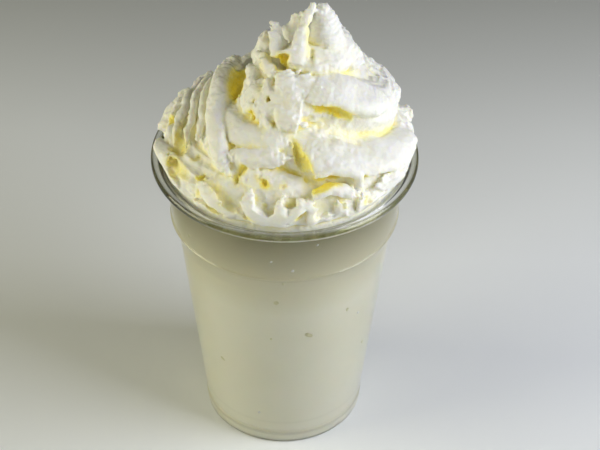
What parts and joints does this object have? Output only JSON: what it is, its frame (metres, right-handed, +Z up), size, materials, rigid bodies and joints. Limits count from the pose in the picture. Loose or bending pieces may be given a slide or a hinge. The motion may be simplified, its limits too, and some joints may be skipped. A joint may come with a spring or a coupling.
{
  "type": "milkshake",
  "caption": "Milkshake in a clear tapered takeaway cup with a rolled rim and a stepped shoulder, topped with a tall piped swirl of whipped cream that leans to one side.",
  "frame": {"origin": "centre of the cup's base, on the surface it stands on", "axes": "+Z up along the cup's axis, -Y towards the side that the picture shows, +X to its right, where the cream leans"},
  "size_m": [0.098, 0.098, 0.187],
  "materials": {
    "clear_plastic": "clear, thin-walled, glossy",
    "drink": "opaque pale cream liquid, satin",
    "cream": "soft white whipped cream, matte to satin"
  },
  "bodies": {
    "root": {"cup": "clear_plastic", "milkshake": "drink", "whipped_cream": "cream"}
  },
  "joints": []
}
